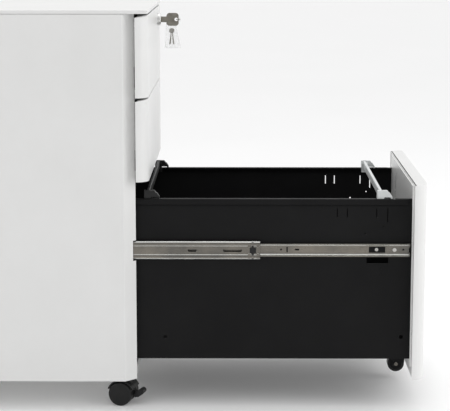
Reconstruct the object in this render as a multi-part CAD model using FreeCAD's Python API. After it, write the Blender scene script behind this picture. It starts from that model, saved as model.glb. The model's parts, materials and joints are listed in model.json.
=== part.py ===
import FreeCAD, Part

import math
import os

# Three-drawer mobile pedestal cabinet in sheet steel, on four swivel casters.
# Frame: +Z up, the fronts face -Y, X runs across the cabinet. The origin is on the floor, under the
# middle of the casing. At rest the upper two drawers are shut and the file drawer is fully open.

V = FreeCAD.Vector
X_AXIS = V(1, 0, 0)
Y_AXIS = V(0, 1, 0)
Z_AXIS = V(0, 0, 1)

# ---- overall sizes, mm ----
WIDTH = 390.0
DEPTH = 500.0
HEIGHT = 600.0
SHEET = 1.0                  # steel sheet of the casing and fronts
BOX_SHEET = 1.2              # steel sheet of the drawer boxes
HALF = WIDTH / 2
FACE_Y = -DEPTH / 2          # plane of the closed drawer faces
BACK_Y = DEPTH / 2

# ---- casing ----
CASING_BOTTOM = 47.0
LIP_BOTTOM = 594.8           # lower edge of the top panel's rim
SIDE_HALF = HALF - 0.5       # outer face of the side panels, just inside the rim
POST_FRONT_Y = -229.5        # front edge of the chamfered posts
POST_CHAMFER = 16.5          # the post slants in by this much, at 45 degrees
POST_HALF = SIDE_HALF - POST_CHAMFER
BEND = 3.0                   # bend radius where the side meets its chamfer
PANEL_TOP = LIP_BOTTOM - 0.5

# ---- drawer fronts: z of the lower edge and of the upper edge at the face ----
FRONT_DEPTH = 19.0
FRONT_ROUND = 19.0
FRONT_TOP_DROP = 3.4         # the top of a front slopes down towards the casing
TOP_WALL_DEPTH = 16.2        # the shell's top and bottom walls stop short of its back
EDGE_ROUND = 1.6
UPPER_FRONT = (472.2, 592.8)
MIDDLE_FRONT = (348.6, 470.8)
FILE_FRONT = (50.0, 347.2)
LINER_Y = FACE_Y + FRONT_DEPTH - 2.0

# ---- drawer boxes ----
BOX_HALF = 168.0
BOX_FRONT_Y = FACE_Y + FRONT_DEPTH + 0.8
BOX_LENGTH = 450.0
UPPER_BOX = (482.0, 556.0)
MIDDLE_BOX = (359.0, 433.0)
FILE_BOX = (76.0, 320.0)
FILE_WALL_TOP = 256.0        # the file box's front wall is lower than its sides
JOGGLE = 2.5                 # the top of each side steps in by this much
LEDGE = 7.0                  # width of the flange along the top of each side

# ---- ball-bearing slides ----
SLIDE_OUT = 181.0            # outer face of the outer member, from the middle of the cabinet
MID_OUT = 178.1              # outer face of the telescoping member
SLIDE_IN = 168.3             # inner face of the inner member
SLIDE_METAL = 1.2
OUTER_HEIGHT = 35.0
MID_HEIGHT = 27.5
INNER_HEIGHT = 19.5
OUTER_LENGTH = 400.0
OUTER_FRONT_Y = -222.0
MID_LENGTH = 380.0
MID_FRONT_Y = -209.0
INNER_LENGTH = 400.0
INNER_FRONT_Y = -227.5
UPPER_SLIDE_Z = 502.0
MIDDLE_SLIDE_Z = 379.0
FILE_SLIDE_Z = 244.0
BALL_RADIUS = 1.15

# ---- how far the drawer stands open at rest ----
FILE_TRAVEL = 410.0

# ---- uprights that carry the slides ----
UPRIGHT_DEPTH = 30.0
UPRIGHT_FRONT_Y = -204.0
UPRIGHT_REAR_Y = 140.0
UPRIGHT_TOP = 558.0

# ---- lock ----
LOCK_X = 100.0
LOCK_Z = 572.0
BAR_LIFT = 10.0
BAR_Y = -192.0
BAR_IN = 184.6
BAR_METAL = 2.0
CAM_PIN_OFFSET = 10.0
BEZEL_DEPTH = 5.6            # how far the lock stands proud of the drawer face
CAM_Y = -229.3
ARM_Y = -217.0
HOOK_TOPS = (529.0, 406.0, 284.0)
HOOK_HEIGHT = 8.0
CATCH_GAP = 4.0

# ---- key ----
KEY_HOLE_Y = -280.2
BOW_NEAR_Y = -264.5
BOW_SIZE = 20.8
KEY_METAL = 2.0
HANGER_Y = -286.3             # plane of the small ring that the pouch hangs from

# ---- casters ----
WHEEL_RADIUS = 18.0
WHEEL_OUT = 20.0
WHEEL_IN = 5.2
TRAIL = 10.0
CASTER_X = 147.0
CASTER_FRONT_Y = -216.0
CASTER_REAR_Y = 205.0
CASTER_PIN_RADIUS = 4.0
AXLE_RADIUS = 3.0
CASTER_TURNS = {"front_left": -14.0, "front_right": 14.0, "rear_left": 32.0, "rear_right": -24.0}

# ---- anti-tilt wheel ----
TILT_Y = -225.8
TILT_Z = 25.9
TILT_RADIUS = 13.3
TILT_AXLE = 2.3
TILT_BACK = -229.6            # front edge of the fork where it meets the drawer floor

# ---- hanging rails ----
RAIL_TOP = 331.6
FRONT_RAIL_Y = -184.0
REAR_RAIL_Y = 163.0
RAIL_WIDTH = 4.6

NODES = {}


def add(name, *solids):
    """Store the solids of one node."""
    NODES.setdefault(name, []).extend(solids)


def block(x0, x1, y0, y1, z0, z1):
    """Box between two corners."""
    return Part.makeBox(x1 - x0, y1 - y0, z1 - z0, V(x0, y0, z0))


def rod(centre, axis, radius, length):
    """Cylinder that starts at a point and runs along an axis."""
    return Part.makeCylinder(radius, length, V(*centre), axis)


def prism(points, direction):
    """Closed outline of straight edges, pushed along a vector."""
    wire = Part.makePolygon([V(*p) for p in points] + [V(*points[0])])
    return Part.Face(wire).extrude(direction)


def cut(shape, *tools):
    """Take tools away from a shape."""
    return shape.cut(list(tools)) if tools else shape


def fuse(shape, *others):
    """Join shapes that touch and drop the seams between flush faces."""
    return shape.fuse(list(others)).removeSplitter()


def mirror_x(shape):
    """The same piece on the other side of the cabinet."""
    return shape.mirror(V(0, 0, 0), X_AXIS)


def both_sides(shape):
    """A right-hand piece and its left-hand twin."""
    return [shape, mirror_x(shape)]


def moved(shape, dy):
    """A copy shifted along Y."""
    result = shape.copy()
    result.translate(V(0, dy, 0))
    return result


def pan_screw(centre, direction, head_radius=3.6, head=1.8, shank_radius=1.9, shank=6.0):
    """Pan-head screw: its head stands out along the direction, its shank goes the other way."""
    base = V(*centre)
    body = Part.makeCylinder(head_radius, head, base, direction)
    body = body.makeFillet(head * 0.45, [body.Edges[0]])
    recess_a = Part.makeCylinder(head_radius * 0.22, head * 0.5, base + direction * (head * 0.55), direction)
    stem = Part.makeCylinder(shank_radius, shank, base - direction * shank, direction)
    return body.cut(recess_a).fuse(stem)


# ---------------------------------------------------------------- casing

def side_outline(inset, z0, z1):
    """Plan outline strip of the right side panel: flat side, bend, 45 degree chamfer and hem."""
    out = SIDE_HALF
    chamfer_start = POST_FRONT_Y + POST_CHAMFER
    tangent = BEND * math.tan(math.radians(22.5))
    slant = math.sqrt(0.5)
    bend_centre = V(out - BEND, chamfer_start + tangent, z0)

    def arc_point(radius, degrees):
        angle = math.radians(degrees)
        return bend_centre + V(radius * math.cos(angle), radius * math.sin(angle), 0)

    outer_side = arc_point(BEND, 0)
    outer_slant = arc_point(BEND, -45)
    inner_side = arc_point(BEND - inset, 0)
    inner_slant = arc_point(BEND - inset, -45)
    tip_outer = V(POST_HALF, POST_FRONT_Y, z0)
    tip_inner = tip_outer + V(-inset * slant, inset * slant, 0)
    back_outer = V(out, BACK_Y - 0.2, z0)
    back_inner = V(out - inset, BACK_Y - 0.2, z0)
    edges = [
        Part.makeLine(back_outer, outer_side),
        Part.Arc(outer_side, arc_point(BEND, -22.5), outer_slant).toShape(),
        Part.makeLine(outer_slant, tip_outer),
        Part.makeLine(tip_outer, tip_inner),
        Part.makeLine(tip_inner, inner_slant),
        Part.Arc(inner_slant, arc_point(BEND - inset, -22.5), inner_side).toShape(),
        Part.makeLine(inner_side, back_inner),
        Part.makeLine(back_inner, back_outer),
    ]
    return Part.Face(Part.Wire(edges)).extrude(V(0, 0, z1 - z0))


def slide_notch(slide_z, reach):
    """Clearance in the post's edge where a slide comes out, as far out as a given X."""
    return block(POST_HALF - 4, reach, POST_FRONT_Y - 2, POST_FRONT_Y + 7.0,
                 slide_z - 15.2, slide_z + 15.2)


def side_panel():
    """Right side panel with its front post, top flange, bottom flange and rear flange."""
    skin = side_outline(SHEET, CASING_BOTTOM, PANEL_TOP)
    inner = SIDE_HALF - SHEET
    top = block(inner - 12, inner + 0.2, POST_FRONT_Y + 24, BACK_Y - 1.4, PANEL_TOP - SHEET, PANEL_TOP)
    bottom = block(inner - 12, inner + 0.2, POST_FRONT_Y + 24, BACK_Y - 1.4,
                   CASING_BOTTOM, CASING_BOTTOM + SHEET)
    rear = block(inner - 12, inner + 0.2, BACK_Y - 2.4, BACK_Y - 1.4, CASING_BOTTOM, PANEL_TOP)
    panel = fuse(skin, top, bottom, rear)
    small = [slide_notch(z, MID_OUT + 0.4) for z in (UPPER_SLIDE_Z, MIDDLE_SLIDE_Z)]
    return cut(panel, slide_notch(FILE_SLIDE_Z, SLIDE_OUT + 1.0), *small)


def top_panel():
    """Flat lid with a shallow rim folded down all round."""
    outer = block(-HALF, HALF, FACE_Y, BACK_Y, LIP_BOTTOM, HEIGHT)
    vertical = [e for e in outer.Edges if abs(e.tangentAt(0).z) > 0.9]
    outer = outer.makeFillet(1.0, vertical)
    upper = [e for e in outer.Edges if e.BoundBox.ZMin > HEIGHT - 0.01]
    outer = outer.makeFillet(0.8, upper)
    hollow = block(-HALF + SHEET, HALF - SHEET, FACE_Y + SHEET, BACK_Y - SHEET,
                   LIP_BOTTOM - 1, HEIGHT - SHEET - 0.2)
    return outer.cut(hollow)


def top_fillers():
    """Long U-shaped packers that lift the lid clear of the side flanges."""
    strip = block(SIDE_HALF - 12, SIDE_HALF - 3, POST_FRONT_Y + 30, BACK_Y - 10,
                  PANEL_TOP, HEIGHT - SHEET - 0.2)
    groove = block(SIDE_HALF - 10.8, SIDE_HALF - 4.2, POST_FRONT_Y + 29, BACK_Y - 9,
                   PANEL_TOP - 1, HEIGHT - SHEET - 1.4)
    return both_sides(strip.cut(groove))


def base_pan():
    """Floor of the casing: a plate with upturned edges and a bay for the anti-tilt wheel."""
    inner = SIDE_HALF - SHEET - 0.3
    low = CASING_BOTTOM + SHEET
    plate = block(-inner, inner, -205.0, BACK_Y - 3.0, low, low + SHEET)
    nose = block(-POST_HALF + 2, POST_HALF - 2, -228.0, -204.9, low, low + SHEET)
    front_flange = block(-POST_HALF + 2, POST_HALF - 2, -228.0, -227.0, low, low + 14.0)
    rear_flange = block(-inner + 14, inner - 14, BACK_Y - 4.0, BACK_Y - 3.0, low, low + 20.0)
    pan = fuse(plate, nose, front_flange, rear_flange)
    bay = block(-24, 24, -230, -196, low - 1, low + 16)
    ribs = []
    for x in (-90.0, 90.0):
        for y in (-110.0, 10.0, 130.0):
            ribs.append(rod((x, y, low - 1), Z_AXIS, 6.0, 4.0))
    pin_holes = []
    for x in (-CASTER_X, CASTER_X):
        for y in (CASTER_FRONT_Y, CASTER_REAR_Y):
            pin_holes.append(rod((x, y, low - 1), Z_AXIS, 5.1, 4.0))
    return cut(pan, bay, *ribs, *pin_holes)


def back_panel():
    """Rear sheet between the side panels, with a flange at the top."""
    inner = SIDE_HALF - SHEET - 0.3
    sheet = block(-inner, inner, BACK_Y - 1.3, BACK_Y - 0.3, CASING_BOTTOM, PANEL_TOP)
    top = block(-inner + 14, inner - 14, BACK_Y - 16.0, BACK_Y - 1.2, PANEL_TOP - SHEET, PANEL_TOP)
    return fuse(sheet, top)


def front_top_rail():
    """Angle under the lid that ties the two sides together behind the lock."""
    span = SIDE_HALF - SHEET - 12.4
    flat = block(-span, span, -208.0, -176.0, PANEL_TOP - SHEET, PANEL_TOP)
    drop = block(-span, span, -177.0, -176.0, PANEL_TOP - 16.0, PANEL_TOP)
    return fuse(flat, drop)


def upright(y0, top):
    """Right-hand channel that carries the outer slide members, open towards the side panel."""
    inner = SIDE_HALF - SHEET - 0.2
    web = block(SLIDE_OUT + 0.05, SLIDE_OUT + 1.25, y0, y0 + UPRIGHT_DEPTH, CASING_BOTTOM + 3, top)
    front = block(SLIDE_OUT + 0.05, inner, y0, y0 + 1.2, CASING_BOTTOM + 3, top)
    rear = block(SLIDE_OUT + 0.05, inner, y0 + UPRIGHT_DEPTH - 1.2, y0 + UPRIGHT_DEPTH,
                 CASING_BOTTOM + 3, top)
    return fuse(web, front, rear)


def hook_slot(hook_top):
    """Opening in the front upright's web where one hook of the lock bar comes through."""
    return block(SLIDE_OUT - 1, SLIDE_OUT + 2, BAR_Y - 1.5, BAR_Y + 3.5,
                 hook_top - HOOK_HEIGHT - 2.0, hook_top + BAR_LIFT + 2.0)


def casing():
    panel = side_panel()
    add("right_side_panel", panel)
    add("left_side_panel", mirror_x(panel))
    add("top_panel", top_panel())
    add("top_packers", *top_fillers())
    add("base_pan", base_pan())
    add("back_panel", back_panel())
    add("front_top_rail", front_top_rail())
    front = upright(UPRIGHT_FRONT_Y, UPRIGHT_TOP)
    right_front = cut(front, *[hook_slot(z) for z in HOOK_TOPS])
    add("slide_uprights", right_front, mirror_x(front))
    add("slide_uprights", *both_sides(upright(UPRIGHT_REAR_Y, UPRIGHT_TOP)))
    screws = []
    for x in (-150.0, -50.0, 50.0, 150.0):
        screws.append(pan_screw((x, BACK_Y - 0.3, 70.0), Y_AXIS, 3.2, 1.5, 1.6, 0.9))
        screws.append(pan_screw((x, BACK_Y - 0.3, 578.0), Y_AXIS, 3.2, 1.5, 1.6, 0.9))
    for z in (180.0, 320.0, 460.0):
        for x in (-186.0, 186.0):
            screws.append(pan_screw((x, BACK_Y - 0.3, z), Y_AXIS, 3.2, 1.5, 1.6, 0.9))
    add("back_screws", *screws)


# ---------------------------------------------------------------- slides

def outer_member(slide_z):
    """C channel with turned-in lips, screwed to the uprights."""
    half = OUTER_HEIGHT / 2
    y1 = OUTER_FRONT_Y + OUTER_LENGTH
    web = block(SLIDE_OUT - SLIDE_METAL, SLIDE_OUT, OUTER_FRONT_Y, y1, slide_z - half, slide_z + half)
    parts = []
    for side in (-1, 1):
        edge = slide_z + side * half
        inner = edge - side * SLIDE_METAL
        lip = edge - side * 3.0
        parts.append(block(170.6, SLIDE_OUT, OUTER_FRONT_Y, y1, min(edge, inner), max(edge, inner)))
        parts.append(block(170.6, 170.6 + SLIDE_METAL, OUTER_FRONT_Y, y1, min(edge, lip), max(edge, lip)))
    channel = fuse(web, *parts)
    holes = []
    for y in (UPRIGHT_FRONT_Y + 8, UPRIGHT_REAR_Y + 15, -60.0, 40.0):
        holes.append(rod((SLIDE_OUT - 3, y, slide_z), X_AXIS, 2.4, 5.0))
    return cut(channel, *holes)


def mid_member(slide_z):
    """Telescoping channel: grooved web outside, flanges towards the drawer, slots in the web."""
    half = MID_HEIGHT / 2
    y0 = MID_FRONT_Y
    y1 = MID_FRONT_Y + MID_LENGTH
    face = MID_OUT
    groove = 1.2
    outline = [
        (171.9, half), (face - 0.8, half), (face, half - 0.8), (face, 6.6), (face - groove, 5.2),
        (face - groove, -5.2), (face, -6.6), (face, -half + 0.8), (face - 0.8, -half), (171.9, -half),
        (171.9, -half + SLIDE_METAL), (face - SLIDE_METAL, -half + SLIDE_METAL),
        (face - SLIDE_METAL, -7.2), (face - groove - SLIDE_METAL, -5.9),
        (face - groove - SLIDE_METAL, 5.9), (face - SLIDE_METAL, 7.2),
        (face - SLIDE_METAL, half - SLIDE_METAL), (171.9, half - SLIDE_METAL),
    ]
    channel = prism([(x, y0, slide_z + z) for x, z in outline], V(0, y1 - y0, 0))
    slots = []
    for start, length, tall in ((2.8, 4.0, 11.0), (27.2, 29.3, 3.7), (97.0, 12.0, 3.2), (123.6, 2.4, 3.2),
                                (250.0, 24.0, 3.7), (330.0, 10.0, 3.7)):
        slots.append(block(face - 4, face + 1, y0 + start, y0 + start + length,
                           slide_z - tall / 2, slide_z + tall / 2))
    return cut(channel, *slots)


def inner_member(slide_z):
    """Channel fixed to the drawer, open towards the casing, with window, holes and end lugs."""
    half = INNER_HEIGHT / 2
    y0 = INNER_FRONT_Y
    y1 = y0 + INNER_LENGTH
    web = block(SLIDE_IN, SLIDE_IN + SLIDE_METAL, y0, y1, slide_z - half, slide_z + half)
    flanges = []
    for side in (-1, 1):
        edge = slide_z + side * half
        inner = edge - side * SLIDE_METAL
        flanges.append(block(SLIDE_IN, 175.4, y0 + 6.0, y1, min(edge, inner), max(edge, inner)))
        lug_far = edge - side * 6.0
        flanges.append(block(SLIDE_IN, 173.6, y0, y0 + SLIDE_METAL, min(edge, lug_far), max(edge, lug_far)))
    channel = fuse(web, *flanges)
    window = block(SLIDE_IN - 1, SLIDE_IN + 3, y0 + 35.5, y0 + 62.3, slide_z - 4.9, slide_z + 4.9)
    oval = block(SLIDE_IN - 1, SLIDE_IN + 3, y0 + 164.8, y0 + 170.2, slide_z - 1.2, slide_z + 1.2)
    tick = block(SLIDE_IN - 1, SLIDE_IN + 3, y0 + 182.4, y0 + 183.8, slide_z - 4.0, slide_z + 4.0)
    holes = [rod((SLIDE_IN - 1, y0 + dy, slide_z), X_AXIS, 1.4, 4.0) for dy in (9.5, 192.0, 330.0)]
    return cut(channel, window, oval, tick, *holes)


def ball_cage(slide_z, y0, length, rail_half, gap, x0, x1):
    """Two steel strips with balls, one above and one below a telescoping member."""
    pieces = []
    for side in (-1, 1):
        centre = slide_z + side * (rail_half + gap / 2)
        strip = block(x0, x1, y0, y0 + length, centre - 0.35, centre + 0.35)
        balls = []
        pockets = []
        count = 8
        for k in range(count):
            y = y0 + 8.0 + k * (length - 16.0) / (count - 1)
            place = V((x0 + x1) / 2, y, centre)
            pockets.append(Part.makeCylinder(BALL_RADIUS + 0.06, 2.0, place - V(0, 0, 1.0), Z_AXIS))
            balls.append(Part.makeSphere(BALL_RADIUS, place))
        pieces.append(cut(strip, *pockets))
        pieces.extend(balls)
    return pieces


def slides():
    for name, slide_z in (("upper", UPPER_SLIDE_Z), ("middle", MIDDLE_SLIDE_Z)):
        add(name + "_outer_slides", *both_sides(outer_member(slide_z)))
        add(name + "_mid_slides", *both_sides(mid_member(slide_z)))
        add(name + "_inner_slides", *both_sides(inner_member(slide_z)))
    opened = -FILE_TRAVEL
    add("file_outer_slides", *both_sides(outer_member(FILE_SLIDE_Z)))
    add("file_mid_slides", *both_sides(moved(mid_member(FILE_SLIDE_Z), opened / 2)))
    add("file_inner_slides", *both_sides(moved(inner_member(FILE_SLIDE_Z), opened)))
    mid_half = MID_HEIGHT / 2
    outer_gap = OUTER_HEIGHT / 2 - SLIDE_METAL - mid_half
    cage_a = ball_cage(FILE_SLIDE_Z, -105.0, 170.0, mid_half, outer_gap, 173.0, 176.6)
    inner_half = INNER_HEIGHT / 2
    inner_gap = mid_half - SLIDE_METAL - inner_half
    cage_b = ball_cage(FILE_SLIDE_Z, -105.0, 170.0, inner_half, inner_gap, 171.9, 175.2)
    for name, cage, share in (("file_outer_ball_cages", cage_a, 0.25), ("file_inner_ball_cages", cage_b, 0.75)):
        placed = [moved(piece, opened * share) for piece in cage]
        for piece in placed:
            add(name, *both_sides(piece))


# ---------------------------------------------------------------- drawer fronts

def front_block(z0, z1, inset, depth, drop):
    """Solid of a front: rounded at both ends in plan, top sloping down towards the casing."""
    half = HALF - inset
    face = FACE_Y + inset
    back = FACE_Y + depth
    radius = FRONT_ROUND - inset
    turn = radius * math.sqrt(0.5)
    corner_y = face + radius
    low = z0 + inset
    high = z1 - inset
    left = V(-half + radius, corner_y, low)
    right = V(half - radius, corner_y, low)
    edges = [
        Part.Arc(V(-half, corner_y, low), left + V(-turn, -turn, 0), V(-half + radius, face, low)).toShape(),
        Part.makeLine(V(-half + radius, face, low), V(half - radius, face, low)),
        Part.Arc(V(half - radius, face, low), right + V(turn, -turn, 0), V(half, corner_y, low)).toShape(),
    ]
    if back > corner_y + 0.01:
        edges.append(Part.makeLine(V(half, corner_y, low), V(half, back, low)))
        edges.append(Part.makeLine(V(half, back, low), V(-half, back, low)))
        edges.append(Part.makeLine(V(-half, back, low), V(-half, corner_y, low)))
    else:
        edges.append(Part.makeLine(V(half, corner_y, low), V(-half, corner_y, low)))
    plan = Part.Face(Part.Wire(edges)).extrude(V(0, 0, high - low))
    slope = drop * depth / FRONT_DEPTH
    wedge = prism([(-HALF - 5, back + 3, high - slope * (1 + 3 / depth)), (-HALF - 5, face, high),
                   (-HALF - 5, face, high + 20), (-HALF - 5, back + 3, high + 20)],
                  V(WIDTH + 10, 0, 0))
    return plan.cut(wedge)


def front_shell(z0, z1):
    """Painted pan that forms the visible front, with two welded stiffeners inside."""
    body = front_block(z0, z1, 0.0, FRONT_DEPTH, FRONT_TOP_DROP)
    rims = []
    for edge in body.Edges:
        box = edge.BoundBox
        along_face = box.YMax < FACE_Y + 0.01 and box.ZLength < 0.01
        around_end = box.ZLength < FRONT_TOP_DROP + 0.1 and box.YLength > 5 and box.XLength > 5
        if along_face or around_end:
            rims.append(edge)
    body = body.makeFillet(EDGE_ROUND, rims)
    hollow = front_block(z0, z1, SHEET, FRONT_DEPTH + 2, FRONT_TOP_DROP)
    shell = body.cut(hollow)
    back_cut = FACE_Y + TOP_WALL_DEPTH
    top_slot = block(-HALF + 1.2, HALF - 1.2, back_cut, FACE_Y + FRONT_DEPTH + 1, z1 - 8, z1 + 2)
    bottom_slot = block(-HALF + 1.2, HALF - 1.2, back_cut, FACE_Y + FRONT_DEPTH + 1, z0 - 1, z0 + 3)
    shell = cut(shell, top_slot, bottom_slot)
    ribs = []
    for x in (-120.0, 120.0):
        rib = block(x - 9, x + 9, FACE_Y + SHEET - 0.1, LINER_Y - 0.05, z0 + 6, z1 - 9)
        channel = block(x - 8, x + 8, FACE_Y + SHEET - 1, LINER_Y - 1.05, z0 + 5, z1 - 8)
        keep_face = block(x - 20, x + 20, FACE_Y - 1, FACE_Y + SHEET - 0.1, z0, z1)
        ribs.append(rib.cut(channel).cut(keep_face))
    return fuse(shell, *ribs)


def front_liner(z0, z1, holes=()):
    """Inner sheet that closes the back of a front."""
    half = HALF - SHEET - 0.3
    high = z1 - SHEET - FRONT_TOP_DROP * 0.9
    sheet = block(-half, half, LINER_Y, LINER_Y + SHEET, z0 + SHEET + 0.4, high - 0.4)
    rib = block(-half + 24, half - 24, LINER_Y + 0.9, BOX_FRONT_Y - 0.05, z0 + 14, z1 - 7)
    relief = block(-half + 25, half - 25, LINER_Y + 0.5, BOX_FRONT_Y - 1.05, z0 + 15, z1 - 8)
    raised = rib.cut(relief)
    return cut(fuse(sheet, raised), *holes)


# ---------------------------------------------------------------- drawer boxes

def box_shell(z0, z1, ledge_drop, front_top=None):
    """Welded box: one folded sheet for floor and sides, with end walls."""
    metal = BOX_SHEET
    out = BOX_HALF
    shoulder = z1 - ledge_drop
    neck = shoulder + 4.6 if ledge_drop > 6 else z1 - 1.3
    step = out - JOGGLE
    right = [
        (out, z0), (out, shoulder), (step, neck), (step, z1), (step - LEDGE, z1), (step - LEDGE, z1 - metal),
        (step - metal, z1 - metal), (step - metal, neck + 0.4), (out - metal, shoulder + 0.4), (out - metal, z0 + metal),
    ]
    left = [(-x, z) for x, z in reversed(right)]
    y0 = BOX_FRONT_Y
    y1 = BOX_FRONT_Y + BOX_LENGTH
    trough = prism([(x, y0, z) for x, z in right + left], V(0, BOX_LENGTH, 0))
    inner = out - metal
    top = shoulder - 1.0
    front = block(-inner - 0.2, inner + 0.2, y0, y0 + metal, z0, front_top or top)
    back = block(-inner - 0.2, inner + 0.2, y1 - metal, y1, z0, top)
    return fuse(trough, front, back)


def catch(slide_side_z):
    """Tab on the right side of a box that the lock bar's hook catches."""
    y0 = BAR_Y + BAR_METAL + 2.5
    plate = block(BOX_HALF - 0.05, 176.5, y0, y0 + 2.0, slide_side_z, slide_side_z + 9.0)
    foot = block(BOX_HALF - 0.05, BOX_HALF + 1.2, y0, y0 + 14.0, slide_side_z, slide_side_z + 9.0)
    return fuse(foot, plate)


def small_box(z0, z1, catch_z):
    shell = box_shell(z0, z1, 10.0)
    return fuse(shell, catch(catch_z))


def file_box():
    """Deep box with the slots, holes and cut-outs of its hanging frame and slide latch."""
    z0, z1 = FILE_BOX
    shell = fuse(box_shell(z0, z1, 12.0, FILE_WALL_TOP), catch(HOOK_TOPS[2] + CATCH_GAP))
    tools = []
    through = 2 * BOX_HALF + 20
    start = -BOX_HALF - 10
    for y, low in ((-119.0, 292.0), (-134.0, 292.0), (-177.5, 292.0), (-194.0, 285.0)):
        tools.append(block(start, start + through, y - 0.7, y + 0.7, low, 306.0))
    tools.append(block(start, start + through, -195.8, -163.4, 222.6, 232.0))
    for y, z, radius in ((-188.0, 278.5, 1.0), (-185.0, 214.5, 0.9), (-185.0, 206.0, 0.9), (-161.0, 268.0, 1.2)):
        tools.append(rod((start, y, z), X_AXIS, radius, through))
    tools.append(block(start, start + through, -219.5, -214.0, 107.0, 112.4))
    tools.append(block(start, start + through, 136.0, 141.0, 107.5, 111.5))
    for side in (-1, 1):
        x0 = side * BOX_HALF
        tools.append(block(min(x0, x0 - side * 12), max(x0, x0 - side * 12), -205.6, -202.6, z1 - 2.0, z1 + 1))
    return cut(shell, *tools)


# ---------------------------------------------------------------- drawers

def drawer_screws(z0, z1, slide_z):
    """Screws of one drawer: front to box, and inner slides to the box sides."""
    screws = []
    for x in (-120.0, 120.0):
        for z in (z0 + 16.0, z1 - 14.0):
            screws.append(pan_screw((x, BOX_FRONT_Y + BOX_SHEET, z), Y_AXIS, 3.6, 1.8, 1.8, BOX_SHEET))
    for dy in (22.8, 230.0, 372.0):
        head = pan_screw((SLIDE_IN + SLIDE_METAL, INNER_FRONT_Y + dy, slide_z), X_AXIS, 3.2, 1.4, 1.6, SLIDE_METAL)
        screws.extend(both_sides(head))
    latch = pan_screw((BOX_HALF, INNER_FRONT_Y + 49.5, slide_z), X_AXIS, 2.8, 1.2, 1.4, BOX_SHEET)
    screws.extend(both_sides(latch))
    return screws


def lock_bore(z_extra=0.0):
    """Hole for the lock housing through the front."""
    return rod((LOCK_X, FACE_Y - 5, LOCK_Z), Y_AXIS, 8.6 + z_extra, 40.0)


def pencil_tray():
    """Moulded tray that rests on the ledges of the upper drawer."""
    z1 = UPPER_BOX[1] - 11.0
    half = BOX_HALF - JOGGLE - LEDGE - 0.8
    y0 = BOX_FRONT_Y + BOX_SHEET + 4.0
    y1 = y0 + 128.0
    body = block(-half, half, y0, y1, z1 - 22.0, z1)
    pockets = []
    walls = (-half + 1.6, -half + 92.0, half - 150.0, half - 1.6)
    for k in range(3):
        pockets.append(block(walls[k] + 0.8, walls[k + 1] - 0.8, y0 + 1.6, y0 + 62.0, z1 - 20.4, z1 + 1))
    pockets.append(block(-half + 2.4, half - 2.4, y0 + 63.6, y1 - 1.6, z1 - 20.4, z1 + 1))
    return cut(body, *pockets)


def tray_supports():
    """Small angles inside the upper box that carry the pencil tray."""
    z = UPPER_BOX[1] - 33.2
    y0 = BOX_FRONT_Y + 8.0
    inner = BOX_HALF - BOX_SHEET
    arm = block(inner - 16.0, inner + 0.05, y0, y0 + 112.0, z - 1.0, z)
    return both_sides(arm)


def drawers():
    z0, z1 = UPPER_FRONT
    add("upper_drawer_front", cut(front_shell(z0, z1), lock_bore()))
    liner_bore = rod((LOCK_X, LINER_Y - 2, LOCK_Z), Y_AXIS, 8.6, 6.0)
    add("upper_drawer_liner", cut(front_liner(z0, z1), liner_bore))
    upper_box = fuse(small_box(*UPPER_BOX, HOOK_TOPS[0] + CATCH_GAP), *tray_supports())
    add("upper_drawer_box", upper_box)
    add("upper_drawer_screws", *drawer_screws(UPPER_BOX[0], UPPER_BOX[1] - 12, UPPER_SLIDE_Z))
    add("pencil_tray", pencil_tray())

    z0, z1 = MIDDLE_FRONT
    add("middle_drawer_front", front_shell(z0, z1))
    add("middle_drawer_liner", front_liner(z0, z1))
    add("middle_drawer_box", small_box(*MIDDLE_BOX, HOOK_TOPS[1] + CATCH_GAP))
    add("middle_drawer_screws", *drawer_screws(MIDDLE_BOX[0], MIDDLE_BOX[1] - 12, MIDDLE_SLIDE_Z))

    z0, z1 = FILE_FRONT
    opened = -FILE_TRAVEL
    add("file_drawer_front", moved(front_shell(z0, z1), opened))
    peep = rod((185.0, LINER_Y - 2, z1 - 14), Y_AXIS, 2.0, 6.0)
    add("file_drawer_liner", moved(front_liner(z0, z1, (peep,)), opened))
    add("file_drawer_box", moved(file_box(), opened))
    for screw in drawer_screws(FILE_BOX[0], FILE_WALL_TOP, FILE_SLIDE_Z):
        add("file_drawer_screws", moved(screw, opened))


# ---------------------------------------------------------------- hanging rails

def rail_bar(y):
    """Flat bar across the file drawer, from bracket to bracket."""
    half = BOX_HALF - JOGGLE - BOX_SHEET - 2.2
    bar = block(-half, half, y - RAIL_WIDTH / 2, y + RAIL_WIDTH / 2, RAIL_TOP - 11.0, RAIL_TOP)
    edges = [e for e in bar.Edges if e.BoundBox.ZMin > RAIL_TOP - 0.01 and e.BoundBox.XLength > 50]
    return bar.makeFillet(1.2, edges)


def rail_bracket(y):
    """Right-hand moulded clip that sits over the side's top edge and holds the bar's end."""
    step = BOX_HALF - JOGGLE
    z1 = FILE_BOX[1]
    profile = [
        (y - 17.0, z1 + 0.1), (y + 5.5, z1 + 0.1), (y + 5.5, z1 + 12.2), (y - 9.5, z1 + 12.2),
        (y - 12.0, z1 + 9.0), (y - 13.6, z1 + 8.2), (y - 17.0, z1 + 3.2),
    ]
    body = prism([(step - 9.0, a, b) for a, b in profile], V(9.0, 0, 0))
    inside = block(step - 16.0, step - 8.9, y - 6.0, y + 5.5, z1 - 6.0, z1 + 9.0)
    groove = block(step - 17.0, step - 3.1, y - RAIL_WIDTH / 2 - 0.1, y + RAIL_WIDTH / 2 + 0.1,
                   RAIL_TOP - 11.1, RAIL_TOP + 2)
    notch = block(step - 12.0, step + 1.0, y - 14.5, y - 4.5, z1, z1 + 2.4)
    return cut(fuse(body, inside), groove, notch)


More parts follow.
